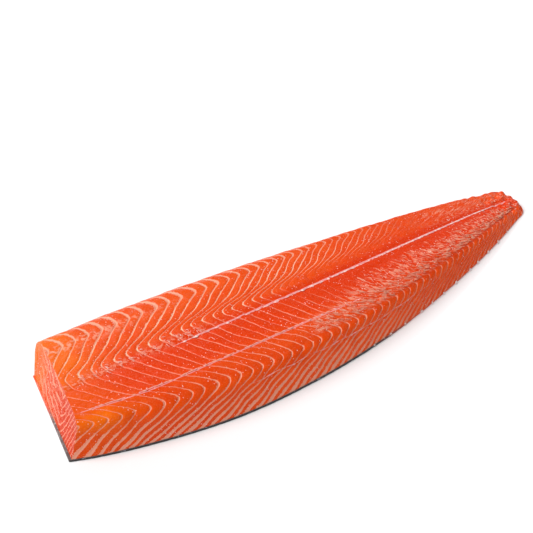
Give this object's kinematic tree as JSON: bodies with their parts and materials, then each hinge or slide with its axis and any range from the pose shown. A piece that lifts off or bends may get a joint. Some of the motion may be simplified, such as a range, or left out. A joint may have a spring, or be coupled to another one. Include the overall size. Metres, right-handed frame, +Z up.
{
  "type": "salmon fillet",
  "caption": "Long raw salmon side with the skin on, thick and cut straight at one end, tapering to a thin blunt tail, with flakes in zigzag relief.",
  "frame": {"origin": "middle of the underside of the bounding box, where the skin rests", "axes": "+X along the fillet from the cut end to the tail, +Y towards the rounded edge, +Z up from skin to flesh"},
  "size_m": [0.5824, 0.1626, 0.043],
  "materials": {
    "flesh": "wet raw fish flesh with pale fat lines between the flakes",
    "skin": "wet fish skin, dark back and silver flank with fine scales"
  },
  "bodies": {
    "root": {"flesh": "flesh", "skin": "skin"}
  },
  "joints": []
}
